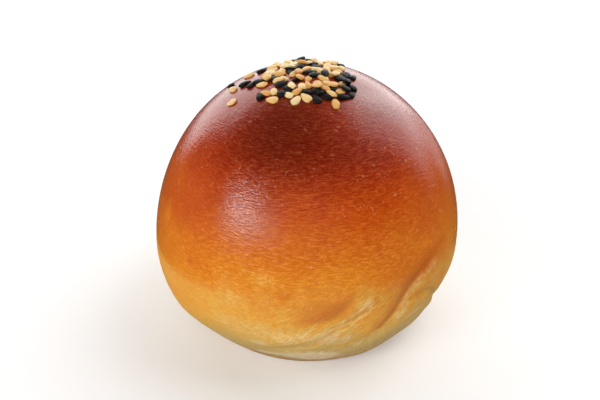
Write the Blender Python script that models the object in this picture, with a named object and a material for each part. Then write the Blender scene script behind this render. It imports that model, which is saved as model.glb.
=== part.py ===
"""A tall, round, egg-washed bread roll with a cap of toasted and black sesame.

The roll is one solid. It was proved as a ball, with its skin pulled down and
gathered under it, and baked standing on a flat tray. The seeds are stuck to
its crown. Metres, +Z up; the roll stands on z = 0, centred on the origin, and
its front, where the folds show best, faces -Y.
"""

import math
import random
from dataclasses import dataclass

import bmesh
import bpy
import numpy as np
from mathutils import Matrix, Vector

NODE_NAME = "bread_roll"
MM = 0.001

# Main sizes of the dough
BUN_RADIUS = 0.0380
BUN_HEIGHT = 0.0648
BELLY_HEIGHT = 0.0224
CONTACT_RADIUS = 0.0260
UNDERCUT = 0.0020

# Its lean: right at the shoulder, left under the belly, right again at the foot
SWAY = 0.0004
SWAY_LEVEL = 0.0240
SWAY_SPAN = 0.0380
FOOT_SWAY = 0.0009
FOOT_FADE = 0.0070

# How finely the skin is divided
CAGE_CELLS = 17
PROFILE_STEPS = 400
BASE_POLAR = math.radians(148.0)
BELLY_POLAR = math.radians(88.0)
FINE_REACHES = (0.0034, 0.0017)
SMOOTH_ANGLE = math.radians(40.0)
BASE_SNAP = 0.0001

# Folds pulled round the flank towards the base
FOLD_STEPS = 16
FOLD_FADE = 0.22
FOLD_TAIL = 0.35
LIP_SPREAD = 1.5
PLEAT_COUNT = 6
PLEAT_FIRST = math.radians(96.0)
PLEAT_SPAN = math.radians(160.0)
PLEAT_SWEEP = math.radians(24.0)
PLEAT_TOP = (0.0600, 0.0660)
PLEAT_TURN = 0.0780
PLEAT_FOOT = 0.0830
PLEAT_DEPTH = (0.0005, 0.0009)
PLEAT_WIDTH = 0.0020
PLEAT_LIP = 0.0003
PLEAT_LIP_OFFSET = -0.0034
PLEAT_RANDOM = 11

# Sesame seeds on the crown
SEED_LENGTH = 0.0029
SEED_WIDTH = 0.0018
SEED_THICKNESS = 0.0010
SEED_TAPER = 0.30
SEED_SINK = 0.00018
SEED_CONTACT = 0.80
SEED_REACH = 0.98
SEED_SEGMENTS = 5
SEED_RINGS = 4
SEED_VARIATION = 0.09
SCATTERED_SEEDS = 56
SEED_TRIES = 16
PATCH_MIDDLE = (-0.0002, -0.0006)
PATCH_RADIUS = 0.0092
PATCH_FRINGE = 0.0006
SEED_RANDOM = 5
BED_HALF = 0.0240
BED_STEP = 0.00025
STEEPEST_SEED = 0.42
DARK_SHARE = 0.12
CLUMP_SHARE = 0.65

# Colours
CRUST_COLOUR = (0.50, 0.155, 0.030, 1.0)
CRUST_ROUGHNESS = 0.34
TOASTED_COLOUR = (0.66, 0.42, 0.19, 1.0)
TOASTED_ROUGHNESS = 0.48
BLACK_COLOUR = (0.018, 0.016, 0.016, 1.0)
BLACK_ROUGHNESS = 0.42


@dataclass(frozen=True)
class Fold:
    """A groove along the skin: its line in degrees and metres from the crown."""

    line: tuple
    depth: float
    width: float
    lip: float
    lip_offset: float


@dataclass(frozen=True)
class Swell:
    """A soft bulge (height above zero) or dent (below) of the flank."""

    azimuth: float
    along: float
    half_across: float
    half_along: float
    height: float


@dataclass(frozen=True)
class Seed:
    """One sesame seed where it came to rest."""

    centre: Vector
    normal: Vector
    yaw: float
    scale: float
    dark: bool


# Folds that meet at the lower right of the front, from the top end down
FRONT_FOLDS = (
    Fold(((58, 0.0535), (47, 0.0578), (41, 0.0600), (37, 0.0620), (34, 0.0650), (32, 0.0675),
          (30, 0.0702), (27, 0.0724), (23, 0.0740), (17, 0.0758), (9, 0.0776)),
         0.00055, 0.0019, 0.00030, -0.0030),
    Fold(((70, 0.0775), (62, 0.0725), (55, 0.0682), (48, 0.0648), (42, 0.0641), (34, 0.0648)),
         0.00060, 0.0012, 0.00030, -0.0026),
    Fold(((26, 0.0612), (20, 0.0636), (15, 0.0656), (8, 0.0698), (2, 0.0731), (-6, 0.0755),
          (-14, 0.0773), (-26, 0.0785)), 0.00040, 0.0017, 0.00030, 0.0026),
    Fold(((24, 0.0565), (18, 0.0587), (12, 0.0620), (8, 0.0644), (4, 0.0657), (-1, 0.0664), (-6, 0.0655)),
         0.00025, 0.0012, 0.00015, 0.0022),
)

# Broad unevenness of the ball
SWELLS = (
    Swell(math.radians(54.0), 0.0702, 0.0095, 0.0040, -0.0006),
    Swell(math.radians(54.0), 0.0792, 0.0075, 0.0026, 0.0003),
    Swell(math.radians(46.0), 0.0655, 0.0090, 0.0035, 0.0004),
    Swell(math.radians(14.0), 0.0600, 0.0070, 0.0050, 0.0004),
    Swell(math.radians(-54.0), 0.0665, 0.0090, 0.0060, 0.0004),
    Swell(math.radians(-33.0), 0.0745, 0.0090, 0.0055, -0.0005),
    Swell(math.radians(-14.0), 0.0527, 0.0035, 0.0028, -0.0003),
    Swell(math.radians(-57.0), 0.0752, 0.0080, 0.0050, 0.0005),
    Swell(math.radians(-15.0), 0.0865, 0.0060, 0.0040, -0.0004),
    Swell(math.radians(25.0), 0.0855, 0.0095, 0.0040, 0.0004),
)

# Seeds seen best, front ones first: across and forward in mm, turn in degrees, dark
PLACED_SEEDS = (
    (6.4, -13.7, 99, False), (-2.2, -13.4, 57, False), (2.2, -13.0, 114, True), (-0.1, -12.7, 131, False),
    (-7.6, -12.3, 158, False), (4.5, -12.0, 168, True), (-4.0, -11.5, 143, False), (5.5, -11.2, 155, False),
    (8.2, -11.2, 13, True), (-0.1, -11.0, 138, True), (3.2, -10.9, 55, True), (-1.9, -10.8, 26, False),
    (-5.7, -10.7, 119, True), (2.1, -10.6, 40, True), (-10.4, -10.1, 108, True), (4.1, -9.7, 137, False),
    (10.1, -9.7, 54, True), (-9.0, -9.6, 150, False), (-7.2, -9.6, 98, False), (7.8, -9.6, 54, False),
    (2.3, -9.4, 152, False), (-4.2, -9.3, 139, True), (-0.9, -9.0, 101, False), (6.4, -9.0, 69, True),
    (8.9, -9.0, 35, True), (0.4, -8.8, 100, False), (-17.1, -7.8, 177, False), (6.0, -7.6, 119, False),
    (4.6, -7.6, 135, False), (2.6, -7.6, 59, False), (-5.6, -7.3, 23, True), (10.1, -6.9, 154, True),
    (8.3, -6.2, 56, False), (9.3, -6.1, 57, True), (-10.1, -5.7, 166, False), (-7.6, -4.3, 118, True),
    (-12.6, -4.0, 49, True), (-10.8, -4.0, 171, True), (7.7, -4.0, 30, True), (-9.1, -3.7, 119, False),
    (-14.2, -2.2, 2, True), (10.8, -1.7, 73, True), (-17.3, -1.6, 134, False), (7.2, -0.3, 176, False),
    (-7.9, 1.1, 167, False), (-18.0, 2.0, 125, True), (-13.7, 2.9, 176, False), (-10.4, 3.0, 42, True),
)

# Where the black seeds landed thickest: across, forward and radius in metres
DARK_CLUMPS = (
    (-0.0032, 0.0000, 0.0022),
    (0.0030, -0.0050, 0.0018),
    (-0.0010, 0.0075, 0.0026),
    (0.0080, 0.0060, 0.0024),
)


def clear_scene() -> None:
    """Remove every object, so that the file holds only the roll."""
    for item in list(bpy.data.objects):
        bpy.data.objects.remove(item, do_unlink=True)


def make_material(name: str, colour: tuple, roughness: float) -> bpy.types.Material:
    """Make a plain food material."""
    material = bpy.data.materials.new(name)
    material.use_nodes = True
    shader = material.node_tree.nodes["Principled BSDF"]
    shader.inputs["Base Color"].default_value = colour
    shader.inputs["Roughness"].default_value = roughness
    shader.inputs["Metallic"].default_value = 0.0
    return material


def crown_height(radius: np.ndarray) -> np.ndarray:
    """Height of the bare crown at a distance from the middle."""
    return BELLY_HEIGHT + (BUN_HEIGHT - BELLY_HEIGHT) * np.sqrt(1.0 - (radius / BUN_RADIUS) ** 2)


def crown_slope(x: float, y: float) -> np.ndarray:
    """Slopes of the bare crown along X and Y at a place."""
    level = math.sqrt(1.0 - (x * x + y * y) / BUN_RADIUS ** 2)
    return (BELLY_HEIGHT - BUN_HEIGHT) / (BUN_RADIUS ** 2 * level) * np.array([x, y])


def sway(height: np.ndarray) -> np.ndarray:
    """How far the ball leans to the right at a height."""
    foot = FOOT_SWAY * np.exp(-(height / FOOT_FADE) ** 2)
    return SWAY * np.sin(math.pi * (height - SWAY_LEVEL) / SWAY_SPAN) + foot


def roll_profile() -> tuple:
    """Half outline from the crown to below the base: (distance along, radius, height)."""
    turn = np.linspace(0.0, math.pi / 2, PROFILE_STEPS)
    crown_radius = BUN_RADIUS * np.sin(turn)
    crown = BELLY_HEIGHT + (BUN_HEIGHT - BELLY_HEIGHT) * np.cos(turn)
    level = np.linspace(1.0, 0.0, PROFILE_STEPS)[1:]
    flank_radius = CONTACT_RADIUS + (BUN_RADIUS - CONTACT_RADIUS) * (1.0 - (1.0 - level) ** 2)
    under_radius = [CONTACT_RADIUS - UNDERCUT, 0.0]
    radius = np.concatenate([crown_radius, flank_radius, under_radius])
    height = np.concatenate([crown, BELLY_HEIGHT * level, [-UNDERCUT, -UNDERCUT]])
    steps = np.hypot(np.diff(radius), np.diff(height))
    along = np.concatenate([[0.0], np.cumsum(steps)])
    return along, radius, height


def smooth_line(points: list) -> np.ndarray:
    """Curve through the points (Catmull-Rom), with FOLD_STEPS steps between each two."""
    ends = [2 * points[0] - points[1]] + list(points) + [2 * points[-1] - points[-2]]
    line = []
    for before, start, stop, after in zip(ends, ends[1:], ends[2:], ends[3:]):
        for t in np.arange(FOLD_STEPS) / FOLD_STEPS:
            line.append(0.5 * (2 * start + (stop - before) * t
                               + (2 * before - 5 * start + 4 * stop - after) * t ** 2
                               + (3 * start - before - 3 * stop + after) * t ** 3))
    line.append(points[-1])
    return np.array(line)


def back_pleats() -> list:
    """Weaker pleats round the sides and the back, all swept the same way."""
    draw = random.Random(PLEAT_RANDOM)
    pleats = []
    for index in range(PLEAT_COUNT):
        low = PLEAT_FIRST + PLEAT_SPAN * (index + 0.6 * draw.random()) / PLEAT_COUNT
        sweep = PLEAT_SWEEP * draw.uniform(0.7, 1.2)
        top = draw.uniform(*PLEAT_TOP)
        line = ((math.degrees(low + sweep), top),
                (math.degrees(low + 0.45 * sweep), 0.5 * (top + PLEAT_TURN)),
                (math.degrees(low), PLEAT_FOOT))
        depth = draw.uniform(*PLEAT_DEPTH)
        pleats.append(Fold(line, depth, PLEAT_WIDTH, PLEAT_LIP, PLEAT_LIP_OFFSET))
    return pleats


def from_fold(fold: Fold, azimuth: np.ndarray, along: np.ndarray) -> tuple:
    """Where places lie from a fold's line: (signed distance aside, distance past an end, progress)."""
    points = [np.array([math.radians(turn) * BUN_RADIUS, down]) for turn, down in fold.line]
    line = smooth_line(points)
    heading = np.gradient(line, axis=0)
    heading /= np.linalg.norm(heading, axis=1)[:, None]
    place = np.stack([azimuth * BUN_RADIUS, along], axis=1)
    offset = place[:, None, :] - line[None, :, :]
    nearest = np.argmin((offset ** 2).sum(axis=2), axis=1)
    picked = offset[np.arange(len(place)), nearest]
    way = heading[nearest]
    side = way[:, 0] * picked[:, 1] - way[:, 1] * picked[:, 0]
    onward = (way * picked).sum(axis=1)
    before = np.where(nearest == 0, np.maximum(-onward, 0.0), 0.0)
    beyond = np.where(nearest == len(line) - 1, np.maximum(onward, 0.0), 0.0)
    return side, before + beyond, nearest / (len(line) - 1)


def fold_relief(fold: Fold, azimuth: np.ndarray, along: np.ndarray) -> np.ndarray:
    """Height that one fold adds to the skin (below zero in its groove)."""
    side, past_end, progress = from_fold(fold, azimuth, along)
    fade = np.clip(progress / FOLD_FADE, 0.0, 1.0) * np.clip((1.0 - progress) / FOLD_FADE, FOLD_TAIL, 1.0)
    groove = -fold.depth * np.exp(-(side / fold.width) ** 2)
    lip = fold.lip * np.exp(-((side - fold.lip_offset) / (LIP_SPREAD * fold.width)) ** 2)
    return (groove + lip) * fade * np.exp(-(past_end / fold.width) ** 2)


def skin_relief(azimuth: np.ndarray, along: np.ndarray) -> np.ndarray:
    """Height of all folds and swells at places given by azimuth and distance from the crown."""
    relief = np.zeros_like(azimuth)
    for fold in list(FRONT_FOLDS) + back_pleats():
        for whole_turn in (-2 * math.pi, 0.0, 2 * math.pi):
            relief += fold_relief(fold, azimuth + whole_turn, along)
    for swell in SWELLS:
        across = np.sin((azimuth - swell.azimuth) / 2) * 2 * BUN_RADIUS / swell.half_across
        down = (along - swell.along) / swell.half_along
        relief += swell.height * np.exp(-across ** 2 - down ** 2)
    return relief


def skin_places(mesh: bmesh.types.BMesh) -> tuple:
    """Azimuth from the front and distance along the skin from the crown, for every vertex."""
    places = np.array([vert.co[:] for vert in mesh.verts])
    places /= np.linalg.norm(places, axis=1)[:, None]
    polar = np.arccos(np.clip(places[:, 2], -1.0, 1.0))
    track = roll_profile()[0]
    stops = [0.0, track[PROFILE_STEPS - 1], track[2 * PROFILE_STEPS - 2], track[-1]]
    along = np.interp(polar, [0.0, BELLY_POLAR, BASE_POLAR, math.pi], stops)
    return np.arctan2(places[:, 0], -places[:, 1]), along


def skin_points(azimuth: np.ndarray, along: np.ndarray) -> np.ndarray:
    """Points on the skin of the roll, with its folds and swells."""
    track, radius, height = roll_profile()
    base_edge = track[2 * PROFILE_STEPS - 2]
    slope_radius = np.gradient(radius, track)
    slope_height = np.gradient(height, track)
    r = np.interp(along, track, radius)
    z = np.interp(along, track, height)
    out = -np.interp(along, track, slope_height)
    rise = np.interp(along, track, slope_radius)
    relief = np.where(along < base_edge, skin_relief(azimuth, along), 0.0)
    r = r + relief * out
    z = np.where(along < base_edge, z + relief * rise, z)
    return np.stack([r * np.sin(azimuth) + sway(z), -r * np.cos(azimuth), z], axis=1)


def refine_along_folds(mesh: bmesh.types.BMesh) -> None:
    """Halve the edges close to the front folds, and again right beside them."""
    for reach in FINE_REACHES:
        azimuth, along = skin_places(mesh)
        measured = [from_fold(fold, azimuth, along) for fold in FRONT_FOLDS]
        nearest = np.min([np.hypot(side, past_end) for side, past_end, _ in measured], axis=0)
        mesh.verts.index_update()
        edges = [edge for edge in mesh.edges
                 if min(nearest[vert.index] for vert in edge.verts) < reach]
        bmesh.ops.subdivide_edges(mesh, edges=edges, cuts=1, use_grid_fill=True)


def build_dough(crust: bpy.types.Material) -> bpy.types.Object:
    """Model the roll without its seeds, from a cube blown up into a ball."""
    mesh = bmesh.new()
    bmesh.ops.create_cube(mesh, size=2.0)
    bmesh.ops.subdivide_edges(mesh, edges=mesh.edges[:], cuts=CAGE_CELLS - 1, use_grid_fill=True)
    for vert in mesh.verts:
        vert.co = Vector([math.tan(value * math.pi / 4) for value in vert.co]).normalized()
    refine_along_folds(mesh)
    for vert, place in zip(mesh.verts, skin_points(*skin_places(mesh))):
        vert.co = Vector(place)
    everything = mesh.verts[:] + mesh.edges[:] + mesh.faces[:]
    bmesh.ops.bisect_plane(mesh, geom=everything, dist=BASE_SNAP, plane_co=(0.0, 0.0, 0.0),
                           plane_no=(0.0, 0.0, 1.0), clear_inner=True)
    rim = [edge for edge in mesh.edges if edge.is_boundary]
    bmesh.ops.holes_fill(mesh, edges=rim, sides=0)
    bmesh.ops.triangulate(mesh, faces=[face for face in mesh.faces if face.normal.z > -0.999])
    data = bpy.data.meshes.new(NODE_NAME)
    mesh.to_mesh(data)
    mesh.free()
    data.materials.append(crust)
    return bpy.data.objects.new(NODE_NAME, data)


class SeedBed:
    """Height of what lies on the crown, kept as a square grid seen from above."""

    def __init__(self) -> None:
        """Start with the bare crown."""
        axis = np.arange(-BED_HALF, BED_HALF, BED_STEP) + BED_STEP / 2
        self.across, self.forward = np.meshgrid(axis, axis, indexing="ij")
        self.bare = crown_height(np.hypot(self.across, self.forward))
        self.top = self.bare.copy()

    def settle(self, x: float, y: float, yaw: float, scale: float) -> tuple:
        """Find how a seed dropped at x, y comes to lie.

        Gives its pile height, plane and half thickness, the cells under it, the
        plane's height in them and how far the seed fills them.
        """
        dx = self.across - x
        dy = self.forward - y
        lengthwise = (dx * math.cos(yaw) + dy * math.sin(yaw)) / (SEED_LENGTH * scale / 2)
        sideways = (dy * math.cos(yaw) - dx * math.sin(yaw)) / (SEED_WIDTH * scale / 2)
        reach = lengthwise ** 2 + sideways ** 2
        cells = np.nonzero(reach < SEED_REACH)
        fill = np.sqrt(1.0 - reach[cells])
        heights = self.top[cells]
        piled = heights - self.bare[cells]
        ground = np.stack([np.ones(len(fill)), dx[cells], dy[cells]], axis=1)
        plane = np.linalg.lstsq(ground * fill[:, None], piled * fill, rcond=None)[0]
        plane[1:] *= min(1.0, STEEPEST_SEED / max(math.hypot(plane[1], plane[2]), BED_STEP))
        plane[1:] += crown_slope(x, y)
        half = SEED_THICKNESS * scale / 2 * math.hypot(1.0, plane[1], plane[2])
        contact = heights - ground[:, 1:] @ plane[1:] - half * (1.0 - fill)
        plane[0] = np.quantile(contact, SEED_CONTACT) - SEED_SINK
        return float(piled.mean()), plane, half, cells, ground @ plane, fill

    def lay(self, x: float, y: float, yaw: float, scale: float, dark: bool) -> Seed:
        """Put a seed down and raise the bed by it."""
        _, plane, half, cells, ground, fill = self.settle(x, y, yaw, scale)
        self.top[cells] = np.maximum(self.top[cells], ground + half * (1.0 + fill))
        centre = Vector((x, y, plane[0] + half))
        normal = Vector((-plane[1], -plane[2], 1.0)).normalized()
        return Seed(centre, normal, yaw, scale, dark)


def seed_is_dark(draw: random.Random, x: float, y: float) -> bool:
    """Draw a seed's colour: mostly black in the clumps, mostly toasted elsewhere."""
    share = DARK_SHARE
    for clump_x, clump_y, radius in DARK_CLUMPS:
        if math.hypot(x - clump_x, y - clump_y) < radius:
            share = CLUMP_SHARE
    return draw.random() < share


def lay_seeds() -> list:
    """Lay the placed seeds, then scatter the rest over the emptiest spots of the patch."""
    draw = random.Random(SEED_RANDOM)
    bed = SeedBed()
    seeds = []
    for x, y, turn, dark in PLACED_SEEDS:
        scale = 1.0 + draw.uniform(-SEED_VARIATION, SEED_VARIATION)
        seeds.append(bed.lay(x * MM, y * MM, math.radians(turn), scale, dark))
    for _ in range(SCATTERED_SEEDS):
        scale = 1.0 + draw.uniform(-SEED_VARIATION, SEED_VARIATION)
        best = None
        for _ in range(SEED_TRIES):
            away = PATCH_RADIUS * math.sqrt(draw.random()) + draw.gauss(0.0, PATCH_FRINGE)
            turn = draw.uniform(0.0, 2 * math.pi)
            x = PATCH_MIDDLE[0] + away * math.sin(turn)
            y = PATCH_MIDDLE[1] + away * math.cos(turn)
            yaw = draw.uniform(0.0, 2 * math.pi)
            pile = bed.settle(x, y, yaw, scale)[0]
            if best is None or pile < best[0]:
                best = (pile, x, y, yaw)
        _, x, y, yaw = best
        seeds.append(bed.lay(x, y, yaw, scale, seed_is_dark(draw, x, y)))
    return seeds


def build_seed(seed: Seed, material: bpy.types.Material, index: int) -> bpy.types.Object:
    """Model one teardrop-shaped seed lying on its flat side."""
    mesh = bmesh.new()
    bmesh.ops.create_uvsphere(mesh, u_segments=SEED_SEGMENTS, v_segments=SEED_RINGS, radius=1.0)
    for vert in mesh.verts:
        lengthwise = vert.co.z
        girth = 1.0 - SEED_TAPER * lengthwise
        vert.co = Vector((lengthwise * SEED_LENGTH / 2, vert.co.x * girth * SEED_WIDTH / 2,
                          -vert.co.y * girth * SEED_THICKNESS / 2)) * seed.scale
    tilt = Vector((0.0, 0.0, 1.0)).rotation_difference(seed.normal).to_matrix().to_4x4()
    lean = Vector((sway(seed.centre.z), 0.0, 0.0))
    place = Matrix.Translation(seed.centre + lean) @ tilt @ Matrix.Rotation(seed.yaw, 4, "Z")
    bmesh.ops.transform(mesh, matrix=place, verts=mesh.verts)
    data = bpy.data.meshes.new(f"seed_{index:03d}")
    mesh.to_mesh(data)
    mesh.free()
    data.materials.append(material)
    return bpy.data.objects.new(f"seed_{index:03d}", data)


def fuse_seeds(dough: bpy.types.Object, seeds: bpy.types.Collection) -> None:
    """Join the seeds to the dough with one union, then remove the loose seeds."""
    union = dough.modifiers.new("Seeds on the crust", "BOOLEAN")
    union.operation = "UNION"
    union.operand_type = "COLLECTION"
    union.collection = seeds
    union.solver = "EXACT"
    union.material_mode = "TRANSFER"
    evaluated = dough.evaluated_get(bpy.context.evaluated_depsgraph_get())
    fused = bpy.data.meshes.new_from_object(evaluated)
    dough.modifiers.clear()
    dough.data = fused
    for item in list(seeds.objects):
        bpy.data.objects.remove(item, do_unlink=True)
    bpy.data.collections.remove(seeds)


def keep_outer_skin(dough: bpy.types.Object) -> None:
    """Fill sealed hollows and drop loose scraps: keep only the largest closed skin."""
    mesh = bmesh.new()
    mesh.from_mesh(dough.data)
    unseen = set(mesh.verts)
    skins = []
    while unseen:
        first = unseen.pop()
        skin = [first]
        queue = [first]
        while queue:
            for edge in queue.pop().link_edges:
                for vert in edge.verts:
                    if vert in unseen:
                        unseen.remove(vert)
                        skin.append(vert)
                        queue.append(vert)
        skins.append(skin)
    skins.sort(key=len)
    for skin in skins[:-1]:
        bmesh.ops.delete(mesh, geom=skin, context="VERTS")
    bmesh.ops.triangulate(mesh, faces=[face for face in mesh.faces if len(face.verts) > 3])
    mesh.to_mesh(dough.data)
    mesh.free()


def centre_on_origin(dough: bpy.types.Object) -> None:
    """Put the middle of the roll's box over the origin, with its base on z = 0."""
    corners = [Vector(corner) for corner in dough.bound_box]
    low = Vector([min(corner[axis] for corner in corners) for axis in range(3)])
    high = Vector([max(corner[axis] for corner in corners) for axis in range(3)])
    middle = (low + high) / 2
    dough.data.transform(Matrix.Translation((-middle.x, -middle.y, -low.z)))


def main() -> None:
    """Model the whole roll."""
    clear_scene()
    scene = bpy.context.scene
    roll_collection = bpy.data.collections.new("Bread roll")
    seed_collection = bpy.data.collections.new("Loose seeds")
    scene.collection.children.link(roll_collection)
    scene.collection.children.link(seed_collection)

    crust = make_material("Baked crust", CRUST_COLOUR, CRUST_ROUGHNESS)
    toasted = make_material("Toasted sesame", TOASTED_COLOUR, TOASTED_ROUGHNESS)
    black = make_material("Black sesame", BLACK_COLOUR, BLACK_ROUGHNESS)

    dough = build_dough(crust)
    roll_collection.objects.link(dough)
    for index, seed in enumerate(lay_seeds()):
        seed_collection.objects.link(build_seed(seed, black if seed.dark else toasted, index))
    fuse_seeds(dough, seed_collection)
    keep_outer_skin(dough)
    dough.data.shade_smooth()
    dough.data.set_sharp_from_angle(angle=SMOOTH_ANGLE)
    centre_on_origin(dough)


if __name__ == "__main__":
    main()
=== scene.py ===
"""A tall, glossy, egg-washed bread roll with toasted and black sesame on its crown.

The roll stands on a pale floor under soft studio light. Its crust is one skin,
shaped as the solid it stands for and then finished with creases, wrinkles and
bake colour; the seeds are laid one by one on the crown by the same rule that
laid them on the solid.
"""

import logging
import math
import random
from dataclasses import dataclass
from enum import Enum
from typing import NamedTuple, Union

import bmesh
import bpy
import numpy as np
from mathutils import Matrix, Vector, noise

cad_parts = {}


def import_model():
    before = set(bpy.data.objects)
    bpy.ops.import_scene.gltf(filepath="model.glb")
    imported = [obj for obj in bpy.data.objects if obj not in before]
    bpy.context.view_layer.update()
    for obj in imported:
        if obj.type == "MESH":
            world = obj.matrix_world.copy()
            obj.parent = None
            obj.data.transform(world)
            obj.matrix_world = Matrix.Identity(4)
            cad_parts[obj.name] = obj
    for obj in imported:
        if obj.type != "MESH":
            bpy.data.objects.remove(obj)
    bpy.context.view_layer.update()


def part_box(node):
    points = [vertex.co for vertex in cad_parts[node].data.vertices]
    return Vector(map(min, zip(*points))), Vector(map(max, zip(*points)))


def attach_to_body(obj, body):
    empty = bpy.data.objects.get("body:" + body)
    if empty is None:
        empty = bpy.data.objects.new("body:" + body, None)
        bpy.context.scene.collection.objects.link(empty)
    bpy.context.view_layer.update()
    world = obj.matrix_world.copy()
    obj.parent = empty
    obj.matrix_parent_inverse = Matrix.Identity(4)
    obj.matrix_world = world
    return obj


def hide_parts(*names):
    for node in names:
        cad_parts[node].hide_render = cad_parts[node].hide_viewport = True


LOG = logging.getLogger("bread_roll")

Array = np.ndarray
Pair = tuple[float, float]
Line = tuple[Pair, ...]
Number = Union["Value", float]
Colour = tuple[float, float, float, float]
Track = tuple[Array, Array, Array]

NODE = "bread_roll"
BODY = "root"
MM = 0.001
FAR = 1.0


def tone(red: int, green: int, blue: int) -> Colour:
    """Turn a screen colour, its parts from 0 to 255, into the linear one a shader takes."""
    linear = [value / 12.92 if value <= 0.04045 else ((value + 0.055) / 1.055) ** 2.4
              for value in (red / 255, green / 255, blue / 255)]
    return (linear[0], linear[1], linear[2], 1.0)


def smoothstep(low: float, high: float, value: Array) -> Array:
    """Rise smoothly from 0 at low to 1 at high."""
    t = np.clip((value - low) / (high - low), 0.0, 1.0)
    return t * t * (3.0 - 2.0 * t)


class Blend(Enum):
    """Ways of laying one colour over another."""

    MIX = "MIX"
    MULTIPLY = "MULTIPLY"


class SeedKind(Enum):
    """The two sorts of sesame on the roll."""

    TOASTED = "tan_seeds"
    BLACK = "black_seeds"


class Mark(Enum):
    """What a patch or a stroke does to the bake; each is kept on the mesh by its name."""

    BAKE = "shift"
    CREAM = "cream"
    PALE = "pale"
    BAND = "band"
    # Darkens the colour: darker bake on the crown, and a painted shade round the main highlight
    DARK = "dark"


class Layer(NamedTuple):
    """A noise: its cells to a unit, how many finer layers it has, and their strength."""

    scale: float
    detail: float = 2.0
    roughness: float = 0.5


class Thread(NamedTuple):
    """A noise drawn out level round the roll: its cells to a mm round it and across it."""

    level: float
    across: float
    layer: Layer


class Amounts(NamedTuple):
    """How much of each noise goes into a sum."""

    streak: float = 0.0
    blotch: float = 0.0
    mottle: float = 0.0
    fibre: float = 0.0
    grain: float = 0.0
    cloud: float = 0.0
    blister: float = 0.0
    crease: float = 0.0


class Value:
    """A shader socket with Python's operators, each of which adds a Math node."""

    def __init__(self, paint: "Paint", socket: bpy.types.NodeSocket) -> None:
        """Wrap a socket of a finish."""
        self.paint = paint
        self.socket = socket

    def _math(self, operation: str, *terms: Number) -> "Value":
        """Add one Math node for an operation on values, in order."""
        return self.paint.node("ShaderNodeMath", {"operation": operation}, dict(enumerate(terms)))

    def __add__(self, other: Number) -> "Value":
        """Add a value or a number."""
        return self._math("ADD", self, other)

    def __radd__(self, other: float) -> "Value":
        """Add to a number."""
        return self._math("ADD", other, self)

    def __sub__(self, other: Number) -> "Value":
        """Subtract a value or a number."""
        return self._math("SUBTRACT", self, other)

    def __rsub__(self, other: float) -> "Value":
        """Subtract from a number."""
        return self._math("SUBTRACT", other, self)

    def __mul__(self, other: Number) -> "Value":
        """Multiply by a value or a number."""
        return self._math("MULTIPLY", self, other)

    def __truediv__(self, other: Number) -> "Value":
        """Divide by a value or a number."""
        return self._math("DIVIDE", self, other)

    def at_most(self, limit: Number) -> "Value":
        """Keep the value from rising above a limit."""
        return self._math("MINIMUM", self, limit)

    def at_least(self, limit: Number) -> "Value":
        """Keep the value from falling below a limit."""
        return self._math("MAXIMUM", self, limit)

    def rise(self, low: float, high: float) -> "Value":
        """Map smoothly to 0 at low and 1 at high.

        Args:
            low: Value that becomes 0.
            high: Value that becomes 1; it may be the smaller one.

        Returns:
            The mapped value, clamped to 0..1.
        """
        settings = {"interpolation_type": "SMOOTHSTEP", "clamp": True}
        if low < high:
            return self.paint.node("ShaderNodeMapRange", settings,
                                   {"Value": self, "From Min": low, "From Max": high})
        return 1.0 - self.rise(high, low)


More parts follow.
